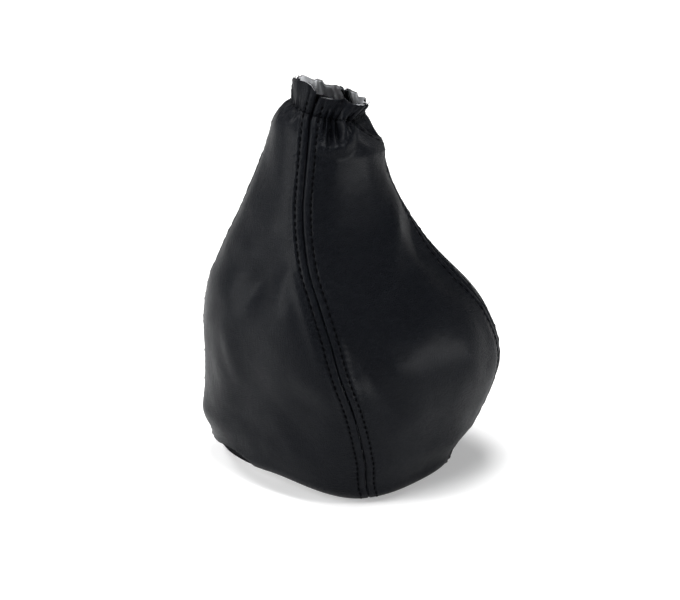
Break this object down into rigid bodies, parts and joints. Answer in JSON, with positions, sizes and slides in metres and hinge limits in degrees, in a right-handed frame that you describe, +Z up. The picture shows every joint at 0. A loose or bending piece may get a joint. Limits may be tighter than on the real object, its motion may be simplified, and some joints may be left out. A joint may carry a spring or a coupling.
{
  "type": "gear lever gaiter",
  "caption": "Soft black leather gaiter for a gear lever: sewn panels with topstitched seams, wide body, gathered elastic neck with a frill, and a turned hem.",
  "frame": {"origin": "on the surface the hem stands on, under the middle of the outline", "axes": "+Z up along the gear lever, -Y the front panel's side, +X the right panel's side"},
  "size_m": [0.1518, 0.1598, 0.2434],
  "materials": {
    "leather": "fine-grained semi-matt black coated leather",
    "sewing_thread": "matt black polyester thread",
    "elastic": "matt black woven elastic"
  },
  "bodies": {
    "root": {"front_panel": "leather", "right_panel": "leather", "rear_panel": "leather", "left_panel": "leather", "front_left_seam_topstitch_left_side": "sewing_thread", "front_left_seam_bobbin_left_side": "sewing_thread", "front_left_seam_closing_thread_left_side": "sewing_thread", "front_left_seam_topstitch_front_side": "sewing_thread", "front_left_seam_bobbin_front_side": "sewing_thread", "front_left_seam_closing_thread_front_side": "sewing_thread", "front_right_seam_topstitch_front_side": "sewing_thread", "front_right_seam_bobbin_front_side": "sewing_thread", "front_right_seam_closing_thread_front_side": "sewing_thread", "front_right_seam_topstitch_right_side": "sewing_thread", "front_right_seam_bobbin_right_side": "sewing_thread", "front_right_seam_closing_thread_right_side": "sewing_thread", "rear_right_seam_topstitch_right_side": "sewing_thread", "rear_right_seam_bobbin_right_side": "sewing_thread", "rear_right_seam_closing_thread_right_side": "sewing_thread", "rear_right_seam_topstitch_rear_side": "sewing_thread", "rear_right_seam_bobbin_rear_side": "sewing_thread", "rear_right_seam_closing_thread_rear_side": "sewing_thread", "rear_left_seam_topstitch_rear_side": "sewing_thread", "rear_left_seam_bobbin_rear_side": "sewing_thread", "rear_left_seam_closing_thread_rear_side": "sewing_thread", "rear_left_seam_topstitch_left_side": "sewing_thread", "rear_left_seam_bobbin_left_side": "sewing_thread", "rear_left_seam_closing_thread_left_side": "sewing_thread", "neck_gathering_thread": "sewing_thread", "neck_elastic": "elastic"}
  },
  "joints": []
}
